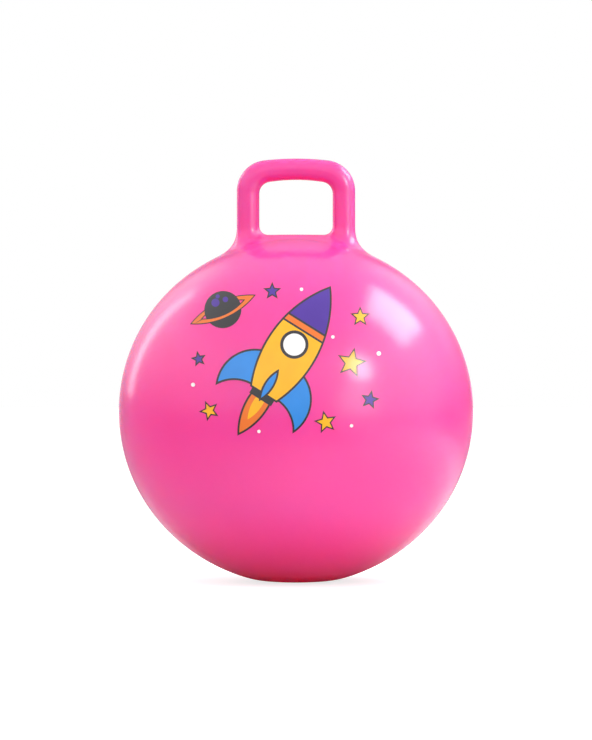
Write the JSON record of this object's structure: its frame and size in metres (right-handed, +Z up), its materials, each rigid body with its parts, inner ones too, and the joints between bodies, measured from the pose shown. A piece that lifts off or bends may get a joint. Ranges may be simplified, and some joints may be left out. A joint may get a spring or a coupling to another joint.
{
  "type": "hopper ball",
  "caption": "Inflated pink ball to sit and bounce on, with a closed hand loop moulded on its crown, a plugged air valve at the back and a printed rocket picture on the front.",
  "frame": {"origin": "middle of the flat patch on which the ball rests on the floor", "axes": "+Z up through the hand loop, -Y towards the printed front, the hand loop stands in the XZ plane, the valve is on the +Y side"},
  "size_m": [0.45, 0.4502, 0.5375],
  "materials": {
    "pink_pvc": "glossy soft PVC skin",
    "valve_pvc": "satin flexible PVC",
    "plug_white": "glossy moulded plastic",
    "ink_yellow": "printed ink, slight gloss",
    "ink_orange": "printed ink, slight gloss",
    "ink_blue": "printed ink, slight gloss",
    "ink_purple": "printed ink, slight gloss",
    "ink_white": "printed ink, slight gloss",
    "ink_charcoal": "printed ink, slight gloss"
  },
  "bodies": {
    "ball": {"ball_shell": "pink_pvc", "hand_loop": "pink_pvc", "valve_seat": "valve_pvc", "print_yellow": "ink_yellow", "print_orange": "ink_orange", "print_blue": "ink_blue", "print_purple": "ink_purple", "print_white": "ink_white", "print_charcoal": "ink_charcoal"},
    "plug": {"valve_plug": "plug_white"}
  },
  "joints": [
    {"name": "plug_pull", "type": "slide", "parent": "ball", "child": "plug", "axis": [0, 0.9511, 0.309], "range_m": [0, 0.025]}
  ]
}
